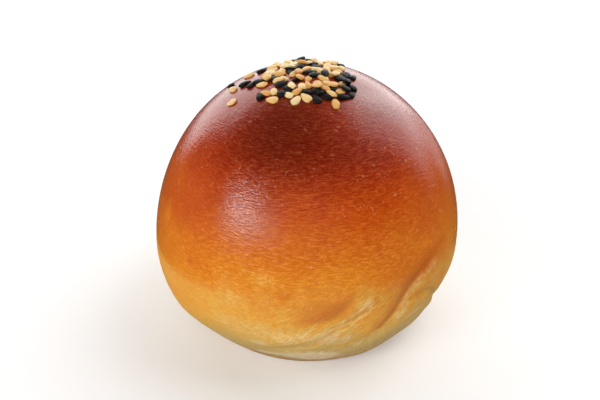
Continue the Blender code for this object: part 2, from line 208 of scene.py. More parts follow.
class Paint:
    """Builds one procedural material around a Principled shader."""

    def __init__(self, name: str) -> None:
        """Start an empty material.

        Args:
            name: The material's name.
        """
        self.material = bpy.data.materials.new(name)
        self.material.use_nodes = True
        self.tree = self.material.node_tree
        self.shader = self.tree.nodes["Principled BSDF"]

    def node(self, kind: str, settings: dict | None = None, sockets: dict | None = None,
             output: int | str = 0) -> Value:
        """Add a node.

        Args:
            kind: The node's type.
            settings: Its properties, set first; "stops" is a colour ramp's list of
                (position, colour).
            sockets: Values or links of its inputs, by name or number.
            output: Which output to return.

        Returns:
            That output.
        """
        made = self.tree.nodes.new(kind)
        for key, value in (settings or {}).items():
            if key == "stops":
                self._set_stops(made.color_ramp, value)
            else:
                setattr(made, key, value)
        for key, value in (sockets or {}).items():
            self.feed(made.inputs[key], value)
        return Value(self, made.outputs[output])

    @staticmethod
    def _set_stops(ramp: bpy.types.ColorRamp, stops: list[tuple[float, Colour]]) -> None:
        """Give a colour ramp its stops.

        Args:
            ramp: The ramp.
            stops: Position and colour of each, in rising order.
        """
        while len(ramp.elements) < len(stops):
            ramp.elements.new(1.0)
        for element, (position, colour) in zip(ramp.elements, stops):
            element.position = position
            element.color = colour

    def feed(self, socket: bpy.types.NodeSocket, value: "Value | float | tuple") -> None:
        """Link a value to a socket, or set the socket to a constant.

        Args:
            socket: The input.
            value: What it gets.
        """
        if isinstance(value, Value):
            self.tree.links.new(value.socket, socket)
        else:
            socket.default_value = value

    def place(self) -> Value:
        """Position on the object, in millimetres."""
        spot = self.node("ShaderNodeTexCoord", output="Object")
        return self.node("ShaderNodeVectorMath", {"operation": "SCALE"},
                         {"Vector": spot, "Scale": 1.0 / MM})

    def parts(self, vector: Value) -> list[Value]:
        """Split a vector into its three numbers."""
        made = self.node("ShaderNodeSeparateXYZ", sockets={0: vector}).socket.node
        return [Value(self, output) for output in made.outputs]

    def vector(self, x: Number, y: Number, z: Number) -> Value:
        """Join three numbers into a vector."""
        return self.node("ShaderNodeCombineXYZ", sockets={0: x, 1: y, 2: z})

    def stored(self, name: str) -> Value:
        """Number kept on the mesh under that name."""
        return self.node("ShaderNodeAttribute", {"attribute_name": name}, output="Fac")

    def noise(self, where: Value, layer: Layer) -> Value:
        """Soft noise, from about -0.5 to 0.5."""
        return self.node("ShaderNodeTexNoise", {"noise_dimensions": "3D"},
                         {"Vector": where, "Scale": layer.scale, "Detail": layer.detail,
                          "Roughness": layer.roughness}) - 0.5

    def ramp(self, value: Value, stops: list[tuple[float, Colour]]) -> Value:
        """Turn a number from 0 to 1 into a colour."""
        return self.node("ShaderNodeValToRGB", {"stops": stops}, {"Fac": value}, output="Color")

    def over(self, under: "Value | Colour", above: "Value | Colour", amount: Number,
             blend: Blend = Blend.MIX) -> Value:
        """Lay an amount of one colour over another."""
        return self.node("ShaderNodeMix",
                         {"data_type": "RGBA", "blend_type": blend.value, "clamp_factor": True},
                         {0: amount, 6: under, 7: above}, output=2)

    def shade(self, colour: "Value | Colour", factor: Value) -> Value:
        """Brighten or darken a colour by a factor around one."""
        return self.over(colour, self.vector(factor, factor, factor), 1.0, Blend.MULTIPLY)

    def tint(self, colour: Value, change: Value, shares: tuple[float, float, float]) -> Value:
        """Brighten or darken red, green and blue, each by its own share of a change."""
        factors = [(1.0 + change * share).at_least(0.0) for share in shares]
        return self.over(colour, self.vector(*factors), 1.0, Blend.MULTIPLY)

    def bump(self, height: Value) -> Value:
        """Turn a height in millimetres into a normal."""
        sockets = {"Strength": 1.0, "Distance": MM, "Height": height}
        return self.node("ShaderNodeBump", sockets=sockets, output="Normal")

    def finish(self, **sockets: "Value | float | tuple") -> bpy.types.Material:
        """Feed the shader and hand over the material.

        Args:
            **sockets: Shader inputs, with underscores for spaces.

        Returns:
            The finished material.
        """
        for key, value in sockets.items():
            self.feed(self.shader.inputs[key.replace("_", " ")], value)
        return self.material


@dataclass(frozen=True)
class Fold:
    """A groove along the skin, pulled in when the ball was shaped.

    The line runs from its top end down, as (degrees from the front, metres
    along the skin from the crown). A lip stands beside the groove, offset
    up-left where positive. The crease is sharp as far down the line as the
    share in sharp.
    """

    line: Line
    depth: float
    width: float
    lip: float
    lip_offset: float
    crease: float = 1.0
    sharp: float = 1.0


@dataclass(frozen=True)
class Spot:
    """A soft-edged spot on the skin, at (degrees from the front, metres from the crown)."""

    azimuth: float
    along: float
    half_across: float
    half_along: float
    strength: float

    def away(self, radius: float, azimuth: Array, along: Array) -> Array:
        """Measure how far places are from the middle of the spot.

        Args:
            radius: The roll's radius.
            azimuth: Azimuths of the places.
            along: Their distances from the crown.

        Returns:
            Squares of the distances, in half widths of the spot.
        """
        turn = (azimuth - math.radians(self.azimuth)) / 2
        across = np.sin(turn) * 2 * radius / self.half_across
        down = (along - self.along) / self.half_along
        return across ** 2 + down ** 2


@dataclass(frozen=True)
class Stroke:
    """A soft-edged mark along a line on the skin, given as a fold's line is."""

    line: Line
    half_width: float
    strength: float


@dataclass(frozen=True)
class Seed:
    """One sesame seed where it came to rest."""

    centre: Vector
    normal: Vector
    yaw: float
    scale: float
    kind: SeedKind


FRONT_FOLDS = (
    # The large fold at the lower right
    Fold(((58, 0.0535), (47, 0.0578), (41, 0.0600), (37, 0.0620), (34, 0.0650), (32, 0.0675),
          (30, 0.0702), (27, 0.0724), (23, 0.0740), (17, 0.0758), (9, 0.0776)),
         depth=0.00055, width=0.0019, lip=0.00030, lip_offset=-0.0030, crease=0.05),
    # The short fold that crosses it
    Fold(((70, 0.0775), (62, 0.0725), (55, 0.0682), (48, 0.0648), (42, 0.0641), (34, 0.0648)),
         depth=0.00060, width=0.0012, lip=0.00030, lip_offset=-0.0026, crease=0.40),
    # The long shallow fold across the front of the foot
    Fold(((26, 0.0612), (20, 0.0636), (15, 0.0656), (8, 0.0698), (2, 0.0731), (-6, 0.0755),
          (-14, 0.0773), (-26, 0.0785)),
         depth=0.00040, width=0.0017, lip=0.00030, lip_offset=0.0026, crease=0.60, sharp=0.22),
    # The faint fold beside the brown lobe
    Fold(((24, 0.0565), (18, 0.0587), (12, 0.0620), (8, 0.0644), (4, 0.0657), (-1, 0.0664),
          (-6, 0.0655)),
         depth=0.00025, width=0.0012, lip=0.00015, lip_offset=0.0022, crease=0.0),
)

# Bulges of the flank, and dents where the height is below zero
SWELLS = tuple(Spot(*row) for row in (
    (54.0, 0.0702, 0.0095, 0.0040, -0.0006),
    (54.0, 0.0792, 0.0075, 0.0026, 0.0003),
    (46.0, 0.0655, 0.0090, 0.0035, 0.0004),
    (14.0, 0.0600, 0.0070, 0.0050, 0.0004),
    (-54.0, 0.0665, 0.0090, 0.0060, 0.0004),
    (-33.0, 0.0745, 0.0090, 0.0055, -0.0005),
    (-14.0, 0.0527, 0.0035, 0.0028, -0.0003),
    (-57.0, 0.0752, 0.0080, 0.0050, 0.0005),
    (-15.0, 0.0865, 0.0060, 0.0040, -0.0004),
    (25.0, 0.0855, 0.0095, 0.0040, 0.0004),
))

PATCHES = {mark: tuple(Spot(*row) for row in rows) for mark, rows in {
    Mark.BAKE: (
        (-64.0, 0.0495, 0.0020, 0.0030, 6.0), (8.0, 0.0615, 0.0052, 0.0034, -2.5),
        (-58.0, 0.0460, 0.0120, 0.0040, -3.0), (-8.0, 0.0585, 0.0022, 0.0013, -3.0),
        (40.0, 0.0572, 0.0110, 0.0034, -4.0), (-44.0, 0.0563, 0.0009, 0.0006, -9.0),
        (-27.0, 0.0612, 0.0034, 0.0022, 3.0), (-15.0, 0.0552, 0.0034, 0.0020, 4.0),
        (20.0, 0.0590, 0.0038, 0.0022, 4.0), (48.0, 0.0614, 0.0070, 0.0016, 3.0),
        (-50.0, 0.0710, 0.0150, 0.0066, -6.5), (43.0, 0.0705, 0.0076, 0.0046, -1.0),
        (24.0, 0.0680, 0.0044, 0.0040, -5.0), (120.0, 0.0620, 0.0100, 0.0040, -8.0),
        (-150.0, 0.0600, 0.0120, 0.0045, -8.0),
    ),
    Mark.CREAM: (
        (2.0, 0.0812, 0.0078, 0.0042, 1.0), (-14.0, 0.0818, 0.0065, 0.0024, 0.8),
        (-17.0, 0.0743, 0.0036, 0.0015, 0.45), (21.0, 0.0760, 0.0036, 0.0012, 0.4),
        (9.0, 0.0712, 0.0066, 0.0030, 0.42), (160.0, 0.0800, 0.0160, 0.0050, 0.7),
        (-128.0, 0.0780, 0.0120, 0.0040, 0.6),
    ),
    Mark.PALE: (
        (43.0, 0.0700, 0.0074, 0.0044, 0.38), (-26.0, 0.0612, 0.0036, 0.0022, 0.30),
        (-15.0, 0.0555, 0.0034, 0.0020, 0.30), (20.0, 0.0597, 0.0040, 0.0028, 0.15),
        (-22.0, 0.0695, 0.0110, 0.0046, 0.45),
    ),
    Mark.BAND: (
        (4.0, 0.0622, 0.0062, 0.0032, 0.65),
    ),
    # Darkening: the crown's darker bake, a darker patch by the large fold, and at -24 degrees a
    # painted shade round the main highlight
    Mark.DARK: (
        (-14.0, 0.0220, 0.0190, 0.0120, 0.92), (22.0, 0.0290, 0.0120, 0.0060, 0.2),
        (44.0, 0.0625, 0.0150, 0.0060, 0.22), (-24.0, 0.0415, 0.0080, 0.0056, 0.42),
        (62.0, 0.0175, 0.0110, 0.0070, 0.4), (170.0, 0.0200, 0.0200, 0.0120, 0.8),
    ),
}.items()}

STROKES = {
    Mark.BAKE: (
        Stroke(((14, 0.0583), (9, 0.0612), (4, 0.0638), (-3, 0.0652)),
               half_width=0.0015, strength=-2.5),
        Stroke(((56, 0.0545), (47, 0.0562), (40, 0.0587), (35, 0.0614), (31.5, 0.0647),
                (29.5, 0.0675), (27.0, 0.0703), (21, 0.0730), (13, 0.0752)),
               half_width=0.0018, strength=-4.5),
        Stroke(((58, 0.0640), (52, 0.0628), (44, 0.0628), (38, 0.0640), (35, 0.0658)),
               half_width=0.0007, strength=-4.0),
    ),
    Mark.PALE: (
        Stroke(((-9, 0.0706), (0, 0.0699), (6, 0.0689), (12, 0.0669), (17, 0.0645), (20, 0.0625)),
               half_width=0.0023, strength=0.58),
        Stroke(((50, 0.0585), (44, 0.0600), (38, 0.0622), (35.5, 0.0655), (34, 0.0682)),
               half_width=0.0014, strength=0.50),
    ),
    Mark.BAND: (
        Stroke(((15, 0.0588), (10, 0.0620), (4, 0.0643), (-3, 0.0656)),
               half_width=0.0014, strength=0.5),
        Stroke(((47, 0.0566), (40, 0.0592), (35.5, 0.0618), (32, 0.0650), (30, 0.0678),
                (27.5, 0.0706)),
               half_width=0.0010, strength=0.60),
        Stroke(((46, 0.0552), (39, 0.0580), (33, 0.0612), (29.5, 0.0645), (27.5, 0.0674),
                (25, 0.0700)),
               half_width=0.0022, strength=0.45),
        Stroke(((21, 0.0630), (17, 0.0648), (13.5, 0.0668)),
               half_width=0.0006, strength=0.4),
        Stroke(((10, 0.0716), (2, 0.0736), (-5, 0.0745), (-10, 0.0754), (-16, 0.0780)),
               half_width=0.0008, strength=0.3),
    ),
}

# Seeds seen best: across and forward in mm, turn in degrees, whether black
PLACED_SEEDS = (
    (6.4, -13.7, 99, False), (-2.2, -13.4, 57, False), (2.2, -13.0, 114, True),
    (-0.1, -12.7, 131, False), (-7.6, -12.3, 158, False), (4.5, -12.0, 168, True),
    (-4.0, -11.5, 143, False), (5.5, -11.2, 155, False), (8.2, -11.2, 13, True),
    (-0.1, -11.0, 138, True), (3.2, -10.9, 55, True), (-1.9, -10.8, 26, False),
    (-5.7, -10.7, 119, True), (2.1, -10.6, 40, True), (-10.4, -10.1, 108, True),
    (4.1, -9.7, 137, False), (10.1, -9.7, 54, True), (-9.0, -9.6, 150, False),
    (-7.2, -9.6, 98, False), (7.8, -9.6, 54, False), (2.3, -9.4, 152, False),
    (-4.2, -9.3, 139, True), (-0.9, -9.0, 101, False), (6.4, -9.0, 69, True),
    (8.9, -9.0, 35, True), (0.4, -8.8, 100, False), (-17.1, -7.8, 177, False),
    (6.0, -7.6, 119, False), (4.6, -7.6, 135, False), (2.6, -7.6, 59, False),
    (-5.6, -7.3, 23, True), (10.1, -6.9, 154, True), (8.3, -6.2, 56, False),
    (9.3, -6.1, 57, True), (-10.1, -5.7, 166, False), (-7.6, -4.3, 118, True),
    (-12.6, -4.0, 49, True), (-10.8, -4.0, 171, True), (7.7, -4.0, 30, True),
    (-9.1, -3.7, 119, False), (-14.2, -2.2, 2, True), (10.8, -1.7, 73, True),
    (-17.3, -1.6, 134, False), (7.2, -0.3, 176, False), (-7.9, 1.1, 167, False),
    (-18.0, 2.0, 125, True), (-13.7, 2.9, 176, False), (-10.4, 3.0, 42, True),
)

# Where black seeds landed thickest: across, forward and radius
DARK_CLUMPS = (
    (-0.0032, 0.0000, 0.0022),
    (0.0030, -0.0050, 0.0018),
    (-0.0010, 0.0075, 0.0026),
    (0.0080, 0.0060, 0.0024),
)


@dataclass(frozen=True)
class RollForm:
    """The form of the dough, as a function from the skin's own coordinates to points.

    A place on the skin is its azimuth from the front and its distance along
    the skin from the crown.
    """

    radius: float = 0.0380
    height: float = 0.0648
    belly: float = 0.0224
    contact: float = 0.0260
    rim: float = 0.0011
    rim_inward: float = 1.3
    rim_curl: float = 0.5
    rim_steps: int = 15
    floor_steps: int = 59
    profile_steps: int = 400
    sway: float = 0.0004
    sway_level: float = 0.0240
    sway_span: float = 0.0380
    foot_sway: float = 0.0009
    foot_fade: float = 0.0070
    fold_steps: int = 24
    fold_fade: float = 0.22
    fold_tail: float = 0.35
    lip_spread: float = 1.5
    line_reach: float = 0.0080
    crease_depth: float = 0.00030
    crease_width: float = 0.00045
    crease_end: Pair = (0.30, 0.05)
    edge_fade: Pair = (0.0005, 0.0020)
    pleats: int = 6
    pleat_first: float = math.radians(96.0)
    pleat_span: float = math.radians(160.0)
    pleat_jitter: float = 0.6
    pleat_sweep: float = math.radians(24.0)
    pleat_sweeps: Pair = (0.7, 1.2)
    pleat_bend: float = 0.45
    pleat_top: Pair = (0.0600, 0.0660)
    pleat_turn: float = 0.0780
    pleat_foot: float = 0.0830
    pleat_depth: Pair = (0.0005, 0.0009)
    pleat_width: float = 0.0020
    pleat_lip: float = 0.0003
    pleat_lip_offset: float = -0.0034
    pleat_crease: float = 0.6
    pleat_random: int = 11

    def crown_height(self, away: Array) -> Array:
        """Height of the bare crown at distances from the axis."""
        return self.belly + (self.height - self.belly) * np.sqrt(1.0 - (away / self.radius) ** 2)

    def crown_slope(self, x: float, y: float) -> Array:
        """Slopes of the bare crown along X and Y at a place."""
        level = math.sqrt(1.0 - (x * x + y * y) / self.radius ** 2)
        return (self.belly - self.height) / (self.radius ** 2 * level) * np.array([x, y])

    def sway_at(self, height: Array) -> Array:
        """How far the ball leans towards +X at heights above the floor."""
        foot = self.foot_sway * np.exp(-(height / self.foot_fade) ** 2)
        return self.sway * np.sin(math.pi * (height - self.sway_level) / self.sway_span) + foot

    def profile(self) -> Track:
        """Half outline from the crown, down the flank, round the rim and in under the base.

        Returns:
            Distance along it, radius and height, as three arrays.
        """
        turn = np.linspace(0.0, math.pi / 2, self.profile_steps)
        crown_radius = self.radius * np.sin(turn)
        crown = self.belly + (self.height - self.belly) * np.cos(turn)
        level = np.linspace(1.0, self.rim / self.belly, self.profile_steps)[1:]
        flank_radius = self.contact + (self.radius - self.contact) * (1.0 - (1.0 - level) ** 2)
        bend = np.linspace(0.0, 1.0, self.rim_steps + 1)[1:]
        rim_radius = (flank_radius[-1] - self.rim_inward * self.rim * bend
                      - self.rim_curl * self.rim * bend ** 2)
        rim_height = self.rim * (1.0 - bend) ** 2
        floor_radius = np.linspace(rim_radius[-1], 0.0, self.floor_steps + 1)[1:]
        radius = np.concatenate([crown_radius, flank_radius, rim_radius, floor_radius])
        height = np.concatenate([crown, self.belly * level, rim_height, 0.0 * floor_radius])
        steps = np.hypot(np.diff(radius), np.diff(height))
        return np.concatenate([[0.0], np.cumsum(steps)]), radius, height

    def belly_along(self) -> float:
        """Distance from the crown to the belly, along the skin."""
        return float(self.profile()[0][self.profile_steps - 1])

    def edge_along(self) -> float:
        """Distance from the crown to the rim of the base, along the skin."""
        return float(self.profile()[0][2 * self.profile_steps - 2])

    def all_folds(self) -> list[Fold]:
        """The front folds and the weaker pleats of the sides and back.

        Returns:
            Every fold.
        """
        draw = random.Random(self.pleat_random)
        folds = list(FRONT_FOLDS)
        for index in range(self.pleats):
            step = index + self.pleat_jitter * draw.random()
            low = self.pleat_first + self.pleat_span * step / self.pleats
            sweep = self.pleat_sweep * draw.uniform(*self.pleat_sweeps)
            top = draw.uniform(*self.pleat_top)
            middle = (math.degrees(low + self.pleat_bend * sweep), 0.5 * (top + self.pleat_turn))
            line = ((math.degrees(low + sweep), top), middle, (math.degrees(low), self.pleat_foot))
            folds.append(Fold(line, draw.uniform(*self.pleat_depth), self.pleat_width,
                              self.pleat_lip, self.pleat_lip_offset, crease=self.pleat_crease))
        return folds

    def curve(self, turns: Line) -> Array:
        """Smooth line through points on the skin (Catmull-Rom), flat on the unrolled skin.

        Args:
            turns: The points, as degrees from the front and metres from the crown.

        Returns:
            Points along the line, one a row.
        """
        points = [np.array([math.radians(turn) * self.radius, down]) for turn, down in turns]
        ends = [2 * points[0] - points[1]] + points + [2 * points[-1] - points[-2]]
        line = []
        for before, start, stop, after in zip(ends, ends[1:], ends[2:], ends[3:]):
            for t in np.arange(self.fold_steps) / self.fold_steps:
                line.append(0.5 * (2 * start + (stop - before) * t
                                   + (2 * before - 5 * start + 4 * stop - after) * t ** 2
                                   + (3 * start - before - 3 * stop + after) * t ** 3))
        line.append(points[-1])
        return np.array(line)

    def from_line(self, turns: Line, azimuth: Array,
                  along: Array) -> Track:
        """Measure places from a line on the skin; places far from it only count as far.

        Args:
            turns: The line's points, as degrees from the front and metres from the crown.
            azimuth: Azimuths of the places.
            along: Distances of the places from the crown.

        Returns:
            Signed distance aside, distance past an end, and progress from 0 to 1.
        """
        line = self.curve(turns)
        heading = np.gradient(line, axis=0)
        heading /= np.linalg.norm(heading, axis=1)[:, None]
        middle = line[:, 0].mean()
        girth = 2 * math.pi * self.radius
        arc = azimuth * self.radius
        arc = arc - np.round((arc - middle) / girth) * girth
        place = np.stack([arc, along], axis=1)
        low = line.min(axis=0) - self.line_reach
        high = line.max(axis=0) + self.line_reach
        near = np.nonzero(((place > low) & (place < high)).all(axis=1))[0]
        gap = place[near][:, None, :] - line[None, :, :]
        nearest = np.argmin((gap ** 2).sum(axis=2), axis=1)
        picked = place[near] - line[nearest]
        way = heading[nearest]
        onward = (way * picked).sum(axis=1)
        before = np.where(nearest == 0, np.maximum(-onward, 0.0), 0.0)
        beyond = np.where(nearest == len(line) - 1, np.maximum(onward, 0.0), 0.0)
        side = np.full(len(place), FAR)
        past_end = np.full(len(place), FAR)
        progress = np.zeros(len(place))
        side[near] = way[:, 0] * picked[:, 1] - way[:, 1] * picked[:, 0]
        past_end[near] = before + beyond
        progress[near] = nearest / (len(line) - 1)
        return side, past_end, progress

    def relief(self, azimuth: Array, along: Array) -> tuple[Array, Array]:
        """Height of folds and swells, and where the folds crease the skin.

        Args:
            azimuth: Azimuths of the places.
            along: Distances of the places from the crown.

        Returns:
            Heights above the plain form, and how much crease each place has.
        """
        height = np.zeros_like(azimuth)
        crease = np.zeros_like(azimuth)
        for fold in self.all_folds():
            side, past_end, progress = self.from_line(fold.line, azimuth, along)
            fade = (np.clip(progress / self.fold_fade, 0.0, 1.0)
                    * np.clip((1.0 - progress) / self.fold_fade, self.fold_tail, 1.0)
                    * np.exp(-(past_end / fold.width) ** 2))
            groove = -fold.depth * np.exp(-(side / fold.width) ** 2)
            beside = (side - fold.lip_offset) / (self.lip_spread * fold.width)
            lip = fold.lip * np.exp(-beside ** 2)
            line = np.exp(-(side / self.crease_width) ** 2)
            blunt, keen = self.crease_end
            line *= smoothstep(fold.sharp + blunt, fold.sharp - keen, progress)
            height += (groove + lip - self.crease_depth * fold.crease * line) * fade
            crease = np.maximum(crease, fold.crease * line * fade)
        for swell in SWELLS:
            height += swell.strength * np.exp(-swell.away(self.radius, azimuth, along))
        return height, crease

    def skin(self, azimuth: Array, along: Array) -> tuple[Array, Array]:
        """Points on the skin with its folds and swells.

        Args:
            azimuth: Azimuths of the places.
            along: Distances of the places from the crown.

        Returns:
            Points, one a row, and how much crease each has.
        """
        track, radius, height = self.profile()
        r = np.interp(along, track, radius)
        z = np.interp(along, track, height)
        out = -np.interp(along, track, np.gradient(height, track))
        rise = np.interp(along, track, np.gradient(radius, track))
        relief, crease = self.relief(azimuth, along)
        edge = self.edge_along()
        below, above = self.edge_fade
        relief = relief * smoothstep(edge + below, edge - above, along)
        r = r + relief * out
        z = z + relief * rise
        x = r * np.sin(azimuth) + self.sway_at(z)
        return np.stack([x, -r * np.cos(azimuth), z], axis=1), crease


@dataclass(frozen=True)
class Glaze:
    """A colour laid over the bake where a mark is strong, with a more or less ragged edge."""

    mark: Mark
    colour: Colour
    ragged: float
    low: float
    high: float
    share: float


# Bake from the crown to under the base: millimetres along the skin, red, green, blue; from 72 to
# 86 mm the pale foot grows duller and darker towards the floor, partly real pale dough and partly
# painted shade
BAKE_TONES = (
    (0.0, 142, 42, 15), (20.0, 142, 40, 12), (26.0, 146, 40, 11), (31.0, 158, 47, 11),
    (36.0, 172, 58, 10), (41.0, 190, 74, 10), (47.0, 202, 92, 12), (54.0, 215, 116, 15),
    (60.0, 224, 138, 27), (66.0, 223, 157, 48), (72.0, 209, 161, 70), (78.0, 194, 163, 92),
    (86.0, 190, 156, 100), (94.0, 170, 112, 58), (110.0, 162, 100, 50),
)

GLAZES = (
    Glaze(Mark.PALE, tone(236, 200, 132), ragged=1.0, low=0.15, high=0.90, share=0.60),
    Glaze(Mark.BAND, tone(190, 98, 4), ragged=1.0, low=0.10, high=1.0, share=0.70),
    Glaze(Mark.CREAM, tone(222, 202, 164), ragged=0.5, low=0.15, high=0.8, share=0.7),
)


@dataclass(frozen=True)
class CrustFinish:
    """Baked, egg-washed crust: dark glossy crown, orange flank, pale matt foot.

    Pairs are where something starts and is complete: in millimetres from the
    crown, or in strength of the noise for blisters.
    """

    name: str = "baked_crust"
    crust_length: float = 120.0
    wander: Layer = Layer(0.30)
    wander_reach: float = 0.8
    wrinkle: Thread = Thread(0.68, 3.4, Layer(1.0, 1.0, 0.55))
    fibre: Thread = Thread(0.42, 0.9, Layer(1.0, 3.0, 0.6))
    grain: Layer = Layer(3.6, 1.0, 0.6)
    blotch: Layer = Layer(0.95, 2.0, 0.6)
    cloud: Layer = Layer(0.050, 3.0, 0.55)
    mottle: Layer = Layer(0.20, 4.0, 0.6)
    blister: Layer = Layer(1.5, 0.0)
    blister_group: Layer = Layer(0.30, 1.0)
    grouping: float = 0.55
    ragged: Amounts = Amounts(streak=1.6, mottle=0.9, blotch=1.2, fibre=2.0)
    drift: Amounts = Amounts(cloud=7.0, mottle=6.0, streak=6.0, fibre=26.0, blotch=5.0)
    fleck_and_glint: Amounts = Amounts(streak=0.42, blotch=0.10, grain=0.26)
    relief: Amounts = Amounts(streak=0.070, blotch=0.045, grain=0.018, mottle=0.06,
                              blister=0.012, crease=0.05)
    lower: Pair = (52.0, 62.0)
    calming: float = 0.55
    crease_shade_tone: Colour = tone(140, 82, 30)
    crease_shade_share: float = 0.40
    force: float = 2.2
    fading: tuple[tuple[float, float, float], ...] = ((26.0, 46.0, 1.15), (54.0, 66.0, 0.55))
    pulled_force: float = 0.5
    bright_gain: float = 0.5
    fleck_and_glint_shares: tuple[float, float, float] = (1.0, 1.8, 3.8)
    painted_glint_tone: Colour = tone(252, 214, 145)
    painted_glint: float = 0.16
    painted_glint_gain: float = 0.22
    painted_glint_start: Pair = (40.0, 50.0)
    blister_and_glint_tone: Colour = tone(250, 180, 130)
    blister_and_glint_share: float = 0.20
    blister_and_glint_spots: Pair = (0.24, 0.38)
    blister_domes: Pair = (0.22, 0.38)
    darkening_and_painted_shade: float = 0.50
    wash_edge: Pair = (66.0, 56.0)
    wash_wander: float = 8.0
    matt: float = 0.62
    polish: float = 0.41
    mirror: float = 0.45

    def material(self) -> bpy.types.Material:
        """Build the crust's material.

        Returns:
            The material.
        """
        paint = Paint(self.name)
        spot = paint.place()
        baked, flow, pull = paint.stored("bake"), paint.stored("flow"), paint.stored("pull")
        crease = paint.stored("crease")

        wander = paint.noise(spot, self.wander) * self.wander_reach
        level = self.drawn_out(paint, spot, paint.stored("along") + wander, self.wrinkle)
        pulled = self.drawn_out(paint, spot, flow + wander, self.wrinkle)
        streak = level + (pulled - level) * pull
        fibre = self.drawn_out(paint, spot, flow, self.fibre)
        grain = paint.noise(spot, self.grain)
        groups = paint.noise(spot, self.blister_group) * self.grouping
        blister = paint.noise(spot, self.blister) + groups
        blotch = paint.noise(spot, self.blotch)
        cloud = paint.noise(spot, self.cloud)
        mottle = paint.noise(spot, self.mottle)

        share = self.ragged
        ragged = (streak * share.streak + mottle * share.mottle + blotch * share.blotch
                  + fibre * pull * share.fibre)
        lively = 1.0 - paint.stored("calm") * self.calming
        share = self.drift
        bake = (baked + paint.stored(Mark.BAKE.value) * (1.0 + ragged) + cloud * share.cloud
                + mottle * share.mottle + streak * lively * share.streak
                + fibre * pull * share.fibre
                + blotch * baked.rise(*self.lower) * share.blotch)
        stops = [(row[0] / self.crust_length, tone(*row[1:])) for row in BAKE_TONES]
        colour = paint.ramp(bake / self.crust_length, stops)
        for glaze in GLAZES:
            mark = paint.stored(glaze.mark.value)
            spread = (mark + ragged * glaze.ragged * mark).rise(glaze.low, glaze.high)
            colour = paint.over(colour, glaze.colour, spread * glaze.share)
        # Painted shade: a darker brown laid along the fold creases
        colour = paint.over(colour, self.crease_shade_tone, crease * self.crease_shade_share)

        force = self.force
        for start, end, loss in self.fading:
            force = force - baked.rise(start, end) * loss
        # The crust's own speckle from the wrinkles, tinted more in green and blue so that it also
        # stands in for glints of light on them: partly a painted highlight
        share = self.fleck_and_glint
        fleck_and_glint = ((streak * share.streak + blotch * share.blotch + grain * share.grain)
                 * ((force + pull * self.pulled_force) * lively))
        bright = fleck_and_glint.at_least(0.0)
        colour = paint.tint(colour, fleck_and_glint + bright * self.bright_gain, self.fleck_and_glint_shares)
        # Painted highlight: pale glints laid on the brightest flecks, stronger on the paler flank
        painted_glint = self.painted_glint + baked.rise(*self.painted_glint_start) * self.painted_glint_gain
        colour = paint.over(colour, self.painted_glint_tone, bright * painted_glint)
        # Pale blister specks, partly real pale blisters and partly painted highlights on the
        # little domes
        blisters_and_glints = blister.rise(*self.blister_and_glint_spots)
        colour = paint.over(colour, self.blister_and_glint_tone, blisters_and_glints * self.blister_and_glint_share)
        # Darken by the dark mark: darker bake on the crown, and a painted shade round the main
        # highlight
        colour = paint.shade(colour, 1.0 - paint.stored(Mark.DARK.value) * self.darkening_and_painted_shade)

        wash = (baked + mottle * self.wash_wander + cloud * self.wash_wander).rise(*self.wash_edge)
        share = self.relief
        height = (streak * share.streak + blotch * share.blotch + grain * share.grain
                  + mottle * share.mottle + blister.rise(*self.blister_domes) * share.blister
                  - crease * share.crease)
        return paint.finish(Base_Color=colour, Roughness=self.matt - wash * self.polish,
                            Specular_IOR_Level=self.mirror, Normal=paint.bump(height))

    def drawn_out(self, paint: Paint, spot: Value, down: Value, thread: Thread) -> Value:
        """Noise drawn out level round the roll.

        Args:
            paint: The material.
            spot: Position in millimetres.
            down: Millimetres across the threads.
            thread: Its cells and layers.

        Returns:
            Noise around zero.
        """
        x, y, _ = paint.parts(spot)
        where = paint.vector(x * thread.level, y * thread.level, down * thread.across)
        return paint.noise(where, thread.layer)


@dataclass(frozen=True)
class SeedLook:
    """How one sort of sesame looks: its tones from pale to dark, and the rest of its skin."""

    stops: tuple[tuple[float, Colour], ...]
    mottling: float
    tip_share: float
    roughness: float
    roughening: float
    mirror: float
    grain_bump: float
    mottle_bump: float


SEED_LOOKS = {
    SeedKind.TOASTED: SeedLook(
        ((0.0, tone(244, 216, 162)), (0.45, tone(238, 198, 130)), (0.8, tone(230, 178, 102)),
         (1.0, tone(220, 158, 80))),
        mottling=0.35, tip_share=0.6, roughness=0.40, roughening=0.1, mirror=0.35,
        grain_bump=0.02, mottle_bump=0.05),
    SeedKind.BLACK: SeedLook(
        ((0.0, tone(9, 9, 10)), (1.0, tone(28, 25, 25))),
        mottling=1.0, tip_share=0.0, roughness=0.48, roughening=0.2, mirror=0.16,
        grain_bump=0.06, mottle_bump=0.08),
}


@dataclass(frozen=True)
class SeedFinish:
    """Skin of a sesame seed: toasted cream to brown, or black with a grey sheen."""

    kind: SeedKind
    mottle: Layer = Layer(0.9, 3.0, 0.6)
    grain: Layer = Layer(4.5, 2.0, 0.6)
    tip_tone: Colour = tone(176, 112, 58)
    tip_start: Pair = (0.62, 1.0)

    def material(self) -> bpy.types.Material:
        """Build the seed's material.

        Returns:
            The material.
        """
        look = SEED_LOOKS[self.kind]
        paint = Paint(self.kind.value)
        spot = paint.place()
        mottle = paint.noise(spot, self.mottle)
        grain = paint.noise(spot, self.grain)
        shade = (paint.stored("tint") + mottle * look.mottling).at_most(1.0).at_least(0.0)
        colour = paint.ramp(shade, list(look.stops))
        tip = paint.stored("tip").rise(*self.tip_start) * look.tip_share
        colour = paint.over(colour, self.tip_tone, tip)
        height = grain * look.grain_bump + mottle * look.mottle_bump
        return paint.finish(Base_Color=colour, Roughness=look.roughness + grain * look.roughening,
                            Specular_IOR_Level=look.mirror, Normal=paint.bump(height))


